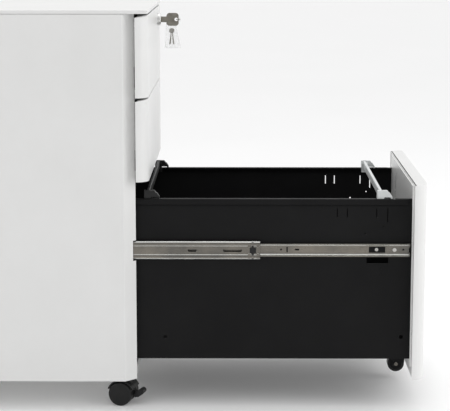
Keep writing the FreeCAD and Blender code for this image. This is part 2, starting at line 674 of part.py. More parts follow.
def hanging_rails():
    opened = -FILE_TRAVEL
    add("front_hanging_rail", moved(rail_bar(FRONT_RAIL_Y), opened))
    add("rear_hanging_rail", moved(rail_bar(REAR_RAIL_Y), opened))
    for name, y in (("front_rail_brackets", FRONT_RAIL_Y), ("rear_hanging_rail", REAR_RAIL_Y)):
        for piece in both_sides(rail_bracket(y)):
            add(name, moved(piece, opened))


# ---------------------------------------------------------------- anti-tilt wheel

def tilt_cheek(x0, x1):
    """One side of the fork: wide at the drawer floor, round about the axle."""
    z1 = FILE_BOX[0] - 0.05
    nose_y = TILT_Y - TILT_RADIUS
    ear_top = FILE_FRONT[0] - 0.6
    side = prism([(x0, TILT_BACK, z1), (x0, TILT_Y + 19, z1), (x0, TILT_Y + 9, TILT_Z + 2), (x0, nose_y, TILT_Z + 2),
                  (x0, nose_y, ear_top), (x0, TILT_BACK, ear_top)], V(x1 - x0, 0, 0))
    boss = rod((x0, TILT_Y, TILT_Z), X_AXIS, 9.2, x1 - x0)
    return fuse(side, boss)


def tilt_wheel_parts():
    opened = -FILE_TRAVEL
    z1 = FILE_BOX[0] - 0.05
    plate = block(-11.5, 11.5, TILT_BACK, TILT_Y + 19, z1 - 1.6, z1)
    fork = fuse(plate, tilt_cheek(-11.5, -9.9), tilt_cheek(9.9, 11.5))
    bore = rod((-14, TILT_Y, TILT_Z), X_AXIS, TILT_AXLE + 0.02, 28.0)
    add("anti_tilt_bracket", moved(cut(fork, bore), opened))
    wheel = rod((-9.4, TILT_Y, TILT_Z), X_AXIS, TILT_RADIUS, 18.8)
    wheel = wheel.makeFillet(1.5, [e for e in wheel.Edges if e.BoundBox.XLength < 0.01])
    groove = rod((-10, TILT_Y, TILT_Z), X_AXIS, 9.8, 2.0).cut(rod((-11, TILT_Y, TILT_Z), X_AXIS, 5.0, 4.0))
    hub_bore = rod((-14, TILT_Y, TILT_Z), X_AXIS, TILT_AXLE + 0.06, 28.0)
    wheel = cut(wheel, groove, mirror_x(groove), hub_bore)
    add("anti_tilt_wheel", moved(wheel, opened))
    axle = rod((-12.4, TILT_Y, TILT_Z), X_AXIS, TILT_AXLE, 24.8)
    heads = [rod((-13.2, TILT_Y, TILT_Z), X_AXIS, 2.9, 1.5), rod((11.7, TILT_Y, TILT_Z), X_AXIS, 2.9, 1.5)]
    add("anti_tilt_axle", moved(fuse(axle, *heads), opened))


# ---------------------------------------------------------------- lock, key and pouch

def lock_parts():
    front = FACE_Y
    bezel = rod((LOCK_X, front - BEZEL_DEPTH, LOCK_Z), Y_AXIS, 10.2, BEZEL_DEPTH - 0.05)
    bezel = bezel.makeFillet(1.4, [e for e in bezel.Edges if e.BoundBox.YMax < front - BEZEL_DEPTH + 0.1])
    barrel = rod((LOCK_X, front - 0.1, LOCK_Z), Y_AXIS, 8.5, 20.5)
    bore = rod((LOCK_X, front - 8, LOCK_Z), Y_AXIS, 6.05, 36.0)
    add("lock_housing", cut(fuse(bezel, barrel), bore))
    nut = rod((LOCK_X, BOX_FRONT_Y, LOCK_Z), Y_AXIS, 11.0, 0.8)
    add("lock_nut", nut.cut(rod((LOCK_X, LINER_Y, LOCK_Z), Y_AXIS, 8.52, 6.0)))
    plug = rod((LOCK_X, front - BEZEL_DEPTH + 0.3, LOCK_Z), Y_AXIS, 6.0, CAM_Y - front + BEZEL_DEPTH - 0.3)
    keyway = block(LOCK_X - 1.25, LOCK_X + 1.25, front - 8, front + 14, LOCK_Z - 4.6, LOCK_Z + 4.6)
    add("lock_plug", plug.cut(keyway))
    disc = rod((LOCK_X, CAM_Y, LOCK_Z), Y_AXIS, 8.0, 1.8)
    lobe = block(LOCK_X, LOCK_X + CAM_PIN_OFFSET, CAM_Y, CAM_Y + 1.8, LOCK_Z - 4.0, LOCK_Z + 4.0)
    tip = rod((LOCK_X + CAM_PIN_OFFSET, CAM_Y, LOCK_Z), Y_AXIS, 4.0, 1.8)
    pin = rod((LOCK_X + CAM_PIN_OFFSET, CAM_Y, LOCK_Z), Y_AXIS, 2.0, 17.0)
    add("lock_cam", fuse(disc, lobe, tip, pin))
    add("key", key(LOCK_X))


def key(x):
    """Flat key: blade in the plug, shank, and a rounded bow with a hole near its outer end."""
    far_y = BOW_NEAR_Y - 19.8
    half = BOW_SIZE / 2
    bow = block(x - KEY_METAL / 2, x + KEY_METAL / 2, far_y, BOW_NEAR_Y, LOCK_Z - half, LOCK_Z + half)
    corners = [e for e in bow.Edges if e.BoundBox.XLength > KEY_METAL - 0.1]
    bow = bow.makeFillet(5.0, corners)
    shank = block(x - KEY_METAL / 2, x + KEY_METAL / 2, BOW_NEAR_Y - 1, FACE_Y - BEZEL_DEPTH - 0.3, LOCK_Z - 4.6, LOCK_Z + 4.6)
    blade = block(x - 1.0, x + 1.0, FACE_Y - BEZEL_DEPTH - 0.4, FACE_Y + 13.0, LOCK_Z - 3.9, LOCK_Z + 3.9)
    bits = [block(x - 2, x + 2, FACE_Y - 1.0 + k * 3.4, FACE_Y + 0.4 + k * 3.4, LOCK_Z + 2.6, LOCK_Z + 5.0)
            for k in range(4)]
    hole = rod((x - 3, KEY_HOLE_Y, LOCK_Z), X_AXIS, 2.8, 6.0)
    return cut(fuse(bow, shank, blade), hole, *bits)


def key_ring_and_pouch():
    """Split ring round the bow's outer edge, and the clear pouch that hangs from it with the spare key."""
    ring_radius = 3.2
    ring = Part.makeTorus(ring_radius, 0.5, V(LOCK_X, KEY_HOLE_Y - ring_radius, LOCK_Z), Z_AXIS)
    add("key_ring", ring)
    hanger = Part.makeTorus(3.4, 0.4, V(LOCK_X, HANGER_Y, LOCK_Z), Y_AXIS)
    outline = [
        (HANGER_Y - 0.6, LOCK_Z - 3.3), (HANGER_Y + 0.6, LOCK_Z - 3.3), (-285.4, LOCK_Z - 10.0),
        (-283.0, LOCK_Z - 11.4), (-263.0, LOCK_Z - 11.0), (-260.0, LOCK_Z - 46.0),
        (-282.5, LOCK_Z - 47.5), (-284.5, LOCK_Z - 26.0), (-286.9, LOCK_Z - 11.0),
    ]
    film = prism([(LOCK_X - 1.9, y, z) for y, z in outline], V(3.8, 0, 0))
    room = block(LOCK_X - 1.4, LOCK_X + 1.4, -281.5, -263.8, LOCK_Z - 44.0, LOCK_Z - 13.0)
    add("key_pouch", cut(film, room))
    add("key_pouch", cut(hanger, film))
    head = rod((LOCK_X - 0.9, -273.0, LOCK_Z - 18.5), X_AXIS, 4.4, 1.8)
    neck = block(LOCK_X - 0.9, LOCK_X + 0.9, -275.2, -270.8, LOCK_Z - 41.0, LOCK_Z - 19.0)
    eye = rod((LOCK_X - 2, -273.0, LOCK_Z - 17.4), X_AXIS, 1.5, 4.0)
    add("spare_key", cut(fuse(head, neck), eye))


# ---------------------------------------------------------------- lock bar

def lock_bar():
    """Flat bar in the right front upright: three hooks, and an arm that the cam's pin lifts."""
    x0 = BAR_IN
    x1 = BAR_IN + BAR_METAL
    strip = block(x0, x1, BAR_Y, BAR_Y + 14.0, 62.0, LOCK_Z + 9.0)
    shoulder = block(x0, x1, ARM_Y, BAR_Y + 1.0, LOCK_Z - 9.0, LOCK_Z + 9.0)
    arm = block(LOCK_X - 6.0, x1, ARM_Y, ARM_Y + BAR_METAL, LOCK_Z - 9.0, LOCK_Z + 9.0)
    hooks = [block(172.0, x1, BAR_Y, BAR_Y + BAR_METAL, top - HOOK_HEIGHT, top) for top in HOOK_TOPS]
    slot = block(LOCK_X - 3.0, LOCK_X + 13.5, ARM_Y - 1, ARM_Y + 3, LOCK_Z - 4.7, LOCK_Z + 4.7)
    add("lock_bar", cut(fuse(strip, shoulder, arm, *hooks), slot))
    guides = []
    for z in (100.0, 330.0, 460.0):
        body = block(SLIDE_OUT + 1.3, SIDE_HALF - SHEET - 0.2, BAR_Y - 5.0, BAR_Y + 16.5, z, z + 12.0)
        guides.append(body.cut(block(x0 - 0.3, x1 + 0.3, BAR_Y - 0.3, BAR_Y + 14.3, z - 1, z + 13)))
    add("lock_bar_guides", *guides)


# ---------------------------------------------------------------- casters

def ring_sector(radius_out, radius_in, half_width, low_angle, high_angle):
    """Mudguard strip round the X axis, between two angles measured from -Y over the top."""
    ring = rod((-half_width, 0, 0), X_AXIS, radius_out, 2 * half_width)
    ring = ring.cut(rod((-half_width - 1, 0, 0), X_AXIS, radius_in, 2 * half_width + 2))
    reach = radius_out * 3
    points = [V(-half_width - 2, 0, 0)]
    for degrees in (low_angle, (low_angle + high_angle) / 2, high_angle):
        angle = math.radians(degrees)
        points.append(V(-half_width - 2, -reach * math.cos(angle), reach * math.sin(angle)))
    sector = Part.Face(Part.makePolygon(points + [points[0]])).extrude(V(2 * half_width + 4, 0, 0))
    return ring.common(sector)


def caster_hood(braked):
    """Swivelling hood about an axle at the origin, its pin bore ahead of the axle."""
    guard = ring_sector(WHEEL_RADIUS + 3.2, WHEEL_RADIUS + 1.1, 17.0, 22.0, 160.0)
    web = rod((-WHEEL_IN + 0.7, 0, 0), X_AXIS, WHEEL_RADIUS + 1.4, 2 * WHEEL_IN - 1.4)
    web = web.cut(block(-10, 10, -30, 30, -30, -6.0))
    if braked:
        web = web.cut(block(-10, 10, -30, -8.0, -10, 13.0))
    boss = rod((0, -TRAIL, 4.0), Z_AXIS, 8.0, 18.0)
    wheels = [rod((side * WHEEL_OUT if side < 0 else WHEEL_IN - 0.4, 0, 0), X_AXIS, WHEEL_RADIUS + 0.6,
                  WHEEL_OUT - WHEEL_IN + 0.4) for side in (-1, 1)]
    boss = cut(boss, *wheels)
    if braked:
        boss = boss.cut(block(-3.9, 3.9, -30, -8.0, -10, 14.5))
    hood = fuse(guard, web, boss)
    if braked:
        ears = [block(3.9, 4.6, -15.0, -7.0, 1.0, 14.0), block(-4.6, -3.9, -15.0, -7.0, 1.0, 14.0)]
        pivot = rod((-4.6, -12.0, 6.0), X_AXIS, 1.5, 9.2)
        hood = fuse(hood, *ears, pivot)
    pin_bore = rod((0, -TRAIL, -20), Z_AXIS, CASTER_PIN_RADIUS + 0.06, 60.0)
    axle_bore = rod((-30, 0, 0), X_AXIS, AXLE_RADIUS + 0.06, 60.0)
    return cut(hood, pin_bore, axle_bore)


def caster_wheels():
    """Twin wheels pressed on their axle, each with a raised rim and a recessed disc."""
    pieces = []
    for side in (-1, 1):
        x0 = WHEEL_IN if side > 0 else -WHEEL_OUT
        wheel = rod((x0, 0, 0), X_AXIS, WHEEL_RADIUS, WHEEL_OUT - WHEEL_IN)
        rims = [e for e in wheel.Edges if e.BoundBox.XLength < 0.01]
        wheel = wheel.makeFillet(1.6, rims)
        dish_x = WHEEL_OUT - 0.6 if side > 0 else -WHEEL_OUT - 0.4
        wheel = wheel.cut(rod((dish_x, 0, 0), X_AXIS, 15.2, 1.0))
        bore = rod((x0 - 1 if side > 0 else x0 + 2.0, 0, 0), X_AXIS, AXLE_RADIUS, WHEEL_OUT - WHEEL_IN - 1.0)
        pieces.append(wheel.cut(bore))
    half = WHEEL_OUT - 2.0
    pieces.append(rod((-half, 0, 0), X_AXIS, AXLE_RADIUS, 2 * half))
    return pieces


def brake_lever():
    """Pedal ahead of the wheels: a rounded paddle on an arm that turns on the hood's cross pin."""
    near = (-22.4, -3.0)
    far = (-30.0, 2.5)
    thick = 4.2
    run = math.hypot(far[0] - near[0], far[1] - near[1])
    nx = -(far[1] - near[1]) / run * thick
    ny = (far[0] - near[0]) / run * thick
    corners = [(near[0] + nx, near[1] + ny), (far[0] + nx, far[1] + ny),
               (far[0] - nx, far[1] - ny), (near[0] - nx, near[1] - ny)]
    slab = prism([(-7.5, y, z) for y, z in corners], V(15.0, 0, 0))
    ends = [rod((-7.5, near[0] + 0.8, near[1]), X_AXIS, 3.4, 15.0), rod((-7.5, far[0], far[1]), X_AXIS, thick, 15.0)]
    arm = prism([(-3.5, -22.0, -5.0), (-3.5, -9.6, 3.2), (-3.5, -11.6, 9.8), (-3.5, -22.0, 0.6)], V(7.0, 0, 0))
    eye = rod((-3.5, -12.0, 6.0), X_AXIS, 3.9, 7.0)
    keep_out = rod((-40, 0, 0), X_AXIS, WHEEL_RADIUS + 0.6, 40 - 4.0)
    keep_out_far = rod((4.0, 0, 0), X_AXIS, WHEEL_RADIUS + 0.6, 36.0)
    wheel_room = []
    for press in (0.0, 3.4, 6.8, 10.2):
        for room in (keep_out, keep_out_far):
            pressed = room.copy()
            pressed.rotate(V(0, -12.0, 6.0), X_AXIS, -press)
            wheel_room.append(pressed)
    lever = cut(fuse(slab, *ends), *wheel_room, block(-4.0, 4.0, -19.4, 0, -20, 20))
    lever = fuse(lever, arm, eye)
    return cut(lever, rod((-10, -12.0, 6.0), X_AXIS, 1.56, 20.0))


def placed_caster(shape, x, y, turn):
    """Move a caster piece from its axle frame to its mount, turned about the pin."""
    result = shape.copy()
    result.translate(V(x, y + TRAIL, WHEEL_RADIUS))
    result.rotate(V(x, y, 0), Z_AXIS, turn)
    return result


def casters():
    mounts = []
    for corner, turn in CASTER_TURNS.items():
        x = CASTER_X if corner.endswith("right") else -CASTER_X
        y = CASTER_FRONT_Y if corner.startswith("front") else CASTER_REAR_Y
        braked = corner.startswith("front")
        add(corner + "_caster_hood", placed_caster(caster_hood(braked), x, y, turn))
        add(corner + "_caster_wheels", *[placed_caster(p, x, y, turn) for p in caster_wheels()])
        if braked:
            add(corner + "_brake_lever", placed_caster(brake_lever(), x, y, turn))
        pin = rod((x, y, WHEEL_RADIUS + 12.0), Z_AXIS, CASTER_PIN_RADIUS, 19.0)
        collar = rod((x, y, WHEEL_RADIUS + 22.4), Z_AXIS, 7.2, CASING_BOTTOM - WHEEL_RADIUS - 21.4)
        thread = rod((x, y, 48.0), Z_AXIS, 5.0, 9.0)
        mounts.append(fuse(pin, collar, thread))
    add("caster_mounts", *mounts)


def write_parts():
    os.makedirs("parts", exist_ok=True)
    for name, solids in NODES.items():
        shape = solids[0] if len(solids) == 1 else Part.makeCompound(solids)
        shape.exportStep("parts/" + name + ".step")


casing()
slides()
drawers()
hanging_rails()
tilt_wheel_parts()
lock_parts()
key_ring_and_pouch()
lock_bar()
casters()
write_parts()
for name, solids in NODES.items():
    broken = [s for s in solids if not s.isValid()]
    print(name, len(solids), round(sum(s.Volume for s in solids)), "INVALID" if broken else "")
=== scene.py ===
import json
import math
import bmesh
import bpy
from mathutils import Matrix, Vector


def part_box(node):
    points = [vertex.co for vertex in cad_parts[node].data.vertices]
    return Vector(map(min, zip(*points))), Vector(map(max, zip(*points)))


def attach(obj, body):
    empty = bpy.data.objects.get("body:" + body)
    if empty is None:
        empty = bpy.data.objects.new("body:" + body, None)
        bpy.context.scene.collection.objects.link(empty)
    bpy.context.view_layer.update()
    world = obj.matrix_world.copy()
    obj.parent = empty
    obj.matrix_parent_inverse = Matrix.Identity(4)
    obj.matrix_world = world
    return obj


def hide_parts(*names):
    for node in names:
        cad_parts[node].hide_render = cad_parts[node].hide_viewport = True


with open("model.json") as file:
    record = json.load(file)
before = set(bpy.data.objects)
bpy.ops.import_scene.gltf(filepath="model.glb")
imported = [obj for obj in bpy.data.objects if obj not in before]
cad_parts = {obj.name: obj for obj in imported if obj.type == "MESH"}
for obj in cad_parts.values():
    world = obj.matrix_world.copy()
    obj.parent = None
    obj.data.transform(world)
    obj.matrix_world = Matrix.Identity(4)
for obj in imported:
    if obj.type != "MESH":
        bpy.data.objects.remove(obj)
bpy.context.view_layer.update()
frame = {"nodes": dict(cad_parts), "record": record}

NODES = frame["nodes"]
SLOT_OF = {part["node"]: part["material_slot"] for part in frame["record"]["subparts"]}
BODY_OF = {node: body for body, members in frame["record"]["behaviour"]["bodies"].items() for node in members}


# ---------------------------------------------------------------- materials

def new_material(name):
    """Empty material with a Principled shader, and helpers to wire it."""
    mat = bpy.data.materials.new(name)
    mat.use_nodes = True
    tree = mat.node_tree
    tree.nodes.clear()
    out = tree.nodes.new("ShaderNodeOutputMaterial")
    bsdf = tree.nodes.new("ShaderNodeBsdfPrincipled")
    tree.links.new(bsdf.outputs["BSDF"], out.inputs["Surface"])
    return mat, tree, bsdf


def coords(tree, scale=(1, 1, 1)):
    """Object coordinates, stretched."""
    source = tree.nodes.new("ShaderNodeTexCoord")
    mapping = tree.nodes.new("ShaderNodeMapping")
    mapping.inputs["Scale"].default_value = scale
    tree.links.new(source.outputs["Object"], mapping.inputs["Vector"])
    return mapping.outputs["Vector"]


def noise(tree, vector, scale, detail=3.0, rough=0.5):
    node = tree.nodes.new("ShaderNodeTexNoise")
    node.inputs["Scale"].default_value = scale
    node.inputs["Detail"].default_value = detail
    node.inputs["Roughness"].default_value = rough
    tree.links.new(vector, node.inputs["Vector"])
    return node.outputs["Fac"]


def ramp(tree, value, low, high, start=0.3, end=0.7):
    """Map a 0..1 value to a range of numbers."""
    node = tree.nodes.new("ShaderNodeMapRange")
    node.inputs["From Min"].default_value = start
    node.inputs["From Max"].default_value = end
    node.inputs["To Min"].default_value = low
    node.inputs["To Max"].default_value = high
    tree.links.new(value, node.inputs["Value"])
    return node.outputs["Result"]


def tint(tree, value, low, high, start=0.3, end=0.7):
    """Map a 0..1 value to a blend of two colours."""
    node = tree.nodes.new("ShaderNodeValToRGB")
    node.color_ramp.elements[0].position = start
    node.color_ramp.elements[0].color = (*low, 1)
    node.color_ramp.elements[1].position = end
    node.color_ramp.elements[1].color = (*high, 1)
    tree.links.new(value, node.inputs["Fac"])
    return node.outputs["Color"]


def bumped(tree, bsdf, height, strength, distance):
    node = tree.nodes.new("ShaderNodeBump")
    node.inputs["Strength"].default_value = strength
    node.inputs["Distance"].default_value = distance
    tree.links.new(height, node.inputs["Height"])
    tree.links.new(node.outputs["Normal"], bsdf.inputs["Normal"])


def finish_surface(name, low, high, rough, grain, bump, metallic=0.0, stretch=(1, 1, 1), patch=9.0,
                   coat=0.0, depth=0.0003, specular=0.5):
    """Surface with broad colour drift, patchy roughness and a fine relief."""
    mat, tree, bsdf = new_material(name)
    base = coords(tree)
    fine = coords(tree, stretch)
    broad = noise(tree, base, patch, 4.0, 0.6)
    relief = noise(tree, fine, grain, 2.0, 0.55)
    tree.links.new(tint(tree, broad, low, high), bsdf.inputs["Base Color"])
    mixed = tree.nodes.new("ShaderNodeMath")
    mixed.operation = "MULTIPLY_ADD"
    mixed.inputs[1].default_value = 0.5
    tree.links.new(relief, mixed.inputs[0])
    half = tree.nodes.new("ShaderNodeMath")
    half.operation = "MULTIPLY"
    half.inputs[1].default_value = 0.5
    tree.links.new(noise(tree, base, patch * 3, 3.0), half.inputs[0])
    tree.links.new(half.outputs[0], mixed.inputs[2])
    tree.links.new(ramp(tree, mixed.outputs[0], *rough), bsdf.inputs["Roughness"])
    bsdf.inputs["Metallic"].default_value = metallic
    bsdf.inputs["Specular IOR Level"].default_value = specular
    bsdf.inputs["Coat Weight"].default_value = coat
    bsdf.inputs["Coat Roughness"].default_value = 0.12
    bumped(tree, bsdf, relief, bump, depth)
    return mat


def rolled_zinc():
    """Zinc-plated strip with warm streaks. Its base colour carries painted shade and a painted highlight:
    dark on the upright webs, light where faces turn up or down.
    """
    mat, tree, bsdf = new_material("zinc_steel")
    base = coords(tree)
    streaks = coords(tree, (8, 0.3, 8))
    shape = tree.nodes.new("ShaderNodeNewGeometry")
    axes = tree.nodes.new("ShaderNodeSeparateXYZ")
    tree.links.new(shape.outputs["Normal"], axes.inputs["Vector"])
    tilt = tree.nodes.new("ShaderNodeMath")
    tilt.operation = "ABSOLUTE"
    tree.links.new(axes.outputs["Z"], tilt.inputs[0])
    patches = noise(tree, base, 14.0, 3.0, 0.6)
    # Painted shade: faces that stand upright get this dark colour, with warm patches of the zinc's own tone.
    flat = tint(tree, patches, (0.115, 0.112, 0.104), (0.225, 0.205, 0.175), 0.35, 0.68)
    # Painted highlight: faces turned up or down get this light colour, standing in for light caught on the
    # bends.
    painted_highlight = tint(tree, noise(tree, streaks, 90.0, 2.0, 0.5), (0.74, 0.745, 0.72), (0.90, 0.905, 0.88))
    blend = tree.nodes.new("ShaderNodeMix")
    blend.data_type = "RGBA"
    tree.links.new(ramp(tree, tilt.outputs[0], 0.0, 1.0, 0.16, 0.72), blend.inputs["Factor"])
    tree.links.new(flat, blend.inputs["A"])
    tree.links.new(painted_highlight, blend.inputs["B"])
    tree.links.new(blend.outputs["Result"], bsdf.inputs["Base Color"])
    relief = noise(tree, streaks, 160.0, 2.0, 0.5)
    tree.links.new(ramp(tree, relief, 0.20, 0.34), bsdf.inputs["Roughness"])
    bsdf.inputs["Metallic"].default_value = 1.0
    bumped(tree, bsdf, relief, 0.06, 0.0002)
    return mat


def clear_film():
    """Thin clear vinyl: mostly see-through, with soft wrinkles that catch the light."""
    mat, tree, bsdf = new_material("clear_film")
    base = coords(tree, (1, 1, 0.45))
    wrinkle = noise(tree, base, 170.0, 3.0, 0.6)
    tree.links.new(tint(tree, wrinkle, (0.80, 0.81, 0.82), (0.93, 0.94, 0.945)), bsdf.inputs["Base Color"])
    tree.links.new(ramp(tree, wrinkle, 0.06, 0.24), bsdf.inputs["Roughness"])
    tree.links.new(ramp(tree, wrinkle, 0.10, 0.24, 0.35, 0.7), bsdf.inputs["Alpha"])
    bsdf.inputs["IOR"].default_value = 1.52
    bumped(tree, bsdf, wrinkle, 0.35, 0.0006)
    return mat


MATERIALS = {
    "white_paint": finish_surface("white_paint", (0.735, 0.735, 0.725), (0.765, 0.765, 0.757), (0.30, 0.42),
                                  850, 0.06, coat=0.06),
    "gloss_white": finish_surface("gloss_white", (0.72, 0.72, 0.71), (0.75, 0.75, 0.742), (0.26, 0.34),
                                  420, 0.03, specular=1.0),
    "black_paint": finish_surface("black_paint", (0.0052, 0.0052, 0.0055), (0.0078, 0.0078, 0.0081),
                                  (0.42, 0.60), 1300, 0.20, depth=0.0002, specular=0.13),
    "zinc_steel": rolled_zinc(),
    "bright_screw": finish_surface("bright_screw", (0.42, 0.41, 0.385), (0.56, 0.55, 0.53), (0.22, 0.36),
                                   900, 0.12, metallic=1.0, patch=60.0),
    "rail_plastic": finish_surface("rail_plastic", (0.56, 0.58, 0.58), (0.64, 0.66, 0.655), (0.38, 0.52),
                                   1500, 0.10, patch=30.0),
    "rail_metal": finish_surface("rail_metal", (0.60, 0.62, 0.62), (0.69, 0.71, 0.71), (0.30, 0.44),
                                 1200, 0.10, stretch=(0.4, 1, 1), patch=25.0),
    "black_nylon": finish_surface("black_nylon", (0.009, 0.009, 0.009), (0.016, 0.016, 0.016), (0.36, 0.55),
                                  1700, 0.25, patch=45.0, depth=0.0002, specular=0.28),
    "chrome_lock": finish_surface("chrome_lock", (0.66, 0.66, 0.65), (0.76, 0.76, 0.755), (0.07, 0.18),
                                  900, 0.05, metallic=1.0, patch=80.0),
    "nickel_key": finish_surface("nickel_key", (0.19, 0.178, 0.152), (0.30, 0.285, 0.25), (0.28, 0.46),
                                 1400, 0.20, metallic=1.0, patch=90.0),
    "brass_plug": finish_surface("brass_plug", (0.42, 0.37, 0.25), (0.54, 0.49, 0.36), (0.22, 0.36),
                                 1400, 0.15, metallic=1.0, patch=90.0),
    "tray_plastic": finish_surface("tray_plastic", (0.030, 0.030, 0.031), (0.045, 0.045, 0.047), (0.42, 0.60),
                                   1600, 0.30, patch=20.0, depth=0.0002),
    "clear_film": clear_film(),
}


# ---------------------------------------------------------------- refined CAD shapes

def rounded_copy(node, width, segments=2, bend=30.0):
    """Copy of a CAD node with its flat faces joined and its sharp sheet edges rounded."""
    source = NODES[node]
    mesh = source.data.copy()
    mesh.materials.clear()
    mesh.materials.append(MATERIALS[SLOT_OF[node]])
    work = bmesh.new()
    work.from_mesh(mesh)
    bmesh.ops.remove_doubles(work, verts=work.verts, dist=2e-6)
    bmesh.ops.dissolve_limit(work, angle_limit=math.radians(0.6), verts=work.verts, edges=work.edges)
    sharp = [e for e in work.edges if e.is_manifold and e.calc_face_angle(0.0) > math.radians(bend)]
    bmesh.ops.bevel(work, geom=sharp, offset=width, segments=segments, profile=0.5, affect="EDGES",
                    clamp_overlap=True)
    for face in work.faces:
        face.smooth = True
    for edge in work.edges:
        edge.smooth = not (edge.is_manifold and edge.calc_face_angle(0.0) > math.radians(38))
    work.to_mesh(mesh)
    work.free()
    piece = bpy.data.objects.new(node + "_finished", mesh)
    bpy.context.scene.collection.objects.link(piece)
    weighted = piece.modifiers.new("weighted", "WEIGHTED_NORMAL")
    weighted.keep_sharp = True
    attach(piece, BODY_OF[node])
    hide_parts(node)
    return piece


# How far the sheet edges of each carried-over node are rounded, in metres.
ROUNDED = {
    "right_side_panel": 0.0004, "left_side_panel": 0.0004, "top_panel": 0.0003,
    "upper_drawer_front": 0.0004, "middle_drawer_front": 0.0004, "file_drawer_front": 0.0004,
    "upper_drawer_liner": 0.0003, "middle_drawer_liner": 0.0003, "file_drawer_liner": 0.0003,
    "upper_drawer_box": 0.0004, "middle_drawer_box": 0.0004, "file_drawer_box": 0.0004,
    "upper_mid_slides": 0.0002, "middle_mid_slides": 0.0002,
    "upper_inner_slides": 0.0002, "middle_inner_slides": 0.0002,
    "front_hanging_rail": 0.0003, "rear_hanging_rail": 0.0003, "front_rail_brackets": 0.0004,
    "pencil_tray": 0.0005, "key": 0.0003,
}
for node_name, edge_width in ROUNDED.items():
    rounded_copy(node_name, edge_width)

# Nodes that the detailed pieces further down stand for.
REBUILT = {"file_mid_slides", "file_inner_slides", "key_pouch", "spare_key"}
for node_name, node_object in NODES.items():
    if node_name not in ROUNDED and node_name not in REBUILT:
        node_object.data.materials.clear()
        node_object.data.materials.append(MATERIALS[SLOT_OF[node_name]])


# ---------------------------------------------------------------- rolled slide members

def both_hands(name, work, body, slot_name, *nodes):
    """Object from a bmesh of the +X hand, with its mirror image on the -X side."""
    copy = bmesh.ops.duplicate(work, geom=work.verts[:] + work.edges[:] + work.faces[:])["geom"]
    for vert in copy:
        if isinstance(vert, bmesh.types.BMVert):
            vert.co.x = -vert.co.x
    bmesh.ops.reverse_faces(work, faces=[f for f in copy if isinstance(f, bmesh.types.BMFace)])
    return finish_piece(name, work, body, slot_name, *nodes)


def finish_piece(name, work, body, slot_name, *nodes, crease=38):
    """Object from a bmesh: smooth faces, sharp creases, its material and its body."""
    for face in work.faces:
        face.smooth = True
    for edge in work.edges:
        edge.smooth = not (edge.is_manifold and edge.calc_face_angle(0.0) > math.radians(crease))
    mesh = bpy.data.meshes.new(name)
    work.to_mesh(mesh)
    work.free()
    mesh.materials.append(MATERIALS[slot_name])
    piece = bpy.data.objects.new(name, mesh)
    bpy.context.scene.collection.objects.link(piece)
    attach(piece, body)
    if nodes:
        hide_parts(*nodes)
    return piece


def add_prism(work, outline, place, start, end):
    """Closed prism added to a bmesh. place(a, b, t) gives the point for outline (a, b) at distance t."""
    near = [work.verts.new(place(a, b, start)) for a, b in outline]
    far = [work.verts.new(place(a, b, end)) for a, b in outline]
    faces = [work.faces.new(near), work.faces.new(far[::-1])]
    for k in range(len(outline)):
        n = (k + 1) % len(outline)
        faces.append(work.faces.new((near[n], near[k], far[k], far[n])))
    bmesh.ops.recalc_face_normals(work, faces=faces)
    return faces


def slot_outline(y0, y1, z0, z1, radius, steps=5):
    """Rounded slot in the YZ plane."""
    points = []
    for cy, cz, turn in ((y1 - radius, z1 - radius, 0), (y0 + radius, z1 - radius, 90),
                         (y0 + radius, z0 + radius, 180), (y1 - radius, z0 + radius, 270)):
        for k in range(steps + 1):
            angle = math.radians(turn + 90 * k / steps)
            points.append((cy + radius * math.cos(angle), cz + radius * math.sin(angle)))
    return points


# Slide sections in millimetres. Slots give start and end from the member's front end, half height and corner.
MID_FLANGE_X = 171.9         # free edge of the mid member's flanges
MID_METAL = 1.1
GROOVE_HALF = 6.0            # half height of the groove between the raceways
MID_SLOTS = ((27.0, 55.0, 2.4, 2.3), (94.5, 107.5, 2.2, 2.1), (120.6, 123.0, 1.9, 1.1),
             (250.0, 274.0, 2.4, 2.3), (330.0, 340.0, 2.2, 2.1))
INNER_WEB_X = 169.4          # outer face of the inner member's web
INNER_METAL = 1.1
HOLLOW = 3.6                 # radius of the inner member's hollow curves
LUG_METAL = 1.3
INNER_SLOTS = ((36.5, 61.0, 4.6, 0.8), (164.8, 171.5, 1.3, 1.2), (182.0, 184.0, 4.2, 0.9),
               (190.6, 193.4, 1.4, 1.35), (8.0, 11.0, 1.5, 1.45))
# Raised pressings: start, end, lowest and highest Z from the middle line, and how far they stand out.
INNER_PRESSINGS = ((66.5, 74.0, -3.2, 3.2, 0.6), (155.0, 159.0, -2.4, 2.4, 0.5),
                   (195.0, 199.0, -2.8, 2.8, 0.5), (31.0, 35.0, -6.0, 6.0, 1.1),
                   (62.5, 65.0, -6.0, 6.0, 1.1), (36.0, 61.6, 4.9, 6.0, 1.1))
CLIP_BEVEL = 0.00015
BOX_SIDE_X = 168.0           # outer face of the file drawer's box


